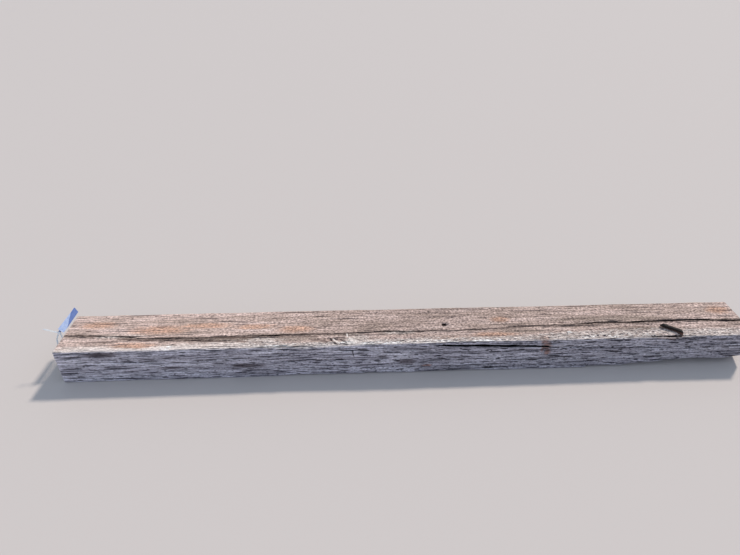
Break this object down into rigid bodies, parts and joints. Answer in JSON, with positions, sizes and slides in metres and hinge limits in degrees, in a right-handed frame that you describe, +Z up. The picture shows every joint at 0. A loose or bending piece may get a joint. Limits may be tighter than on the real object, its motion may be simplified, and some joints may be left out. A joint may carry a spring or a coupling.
{
  "type": "railway sleeper",
  "caption": "Used timber railway sleeper with weathered arrises, seasoning checks, a drawn spike hole, a bent-over spike and a blank lot tag.",
  "frame": {"origin": "middle of the bed, the flat face that the sleeper lies on", "axes": "+X along the grain, +Y across to the back long face, +Z up out of the top face"},
  "size_m": [2.6481, 0.2218, 0.1834],
  "materials": {
    "weathered_hardwood": "sun-bleached, silver-grey to tan, rough open grain",
    "rusted_steel": "dark brown rust",
    "zinc_nail": "dull zinc",
    "white_plastic": "satin white, blank"
  },
  "bodies": {
    "root": {"sleeper": "weathered_hardwood", "bent_spike": "rusted_steel", "tag_nail": "zinc_nail", "lot_tag": "white_plastic"}
  },
  "joints": []
}
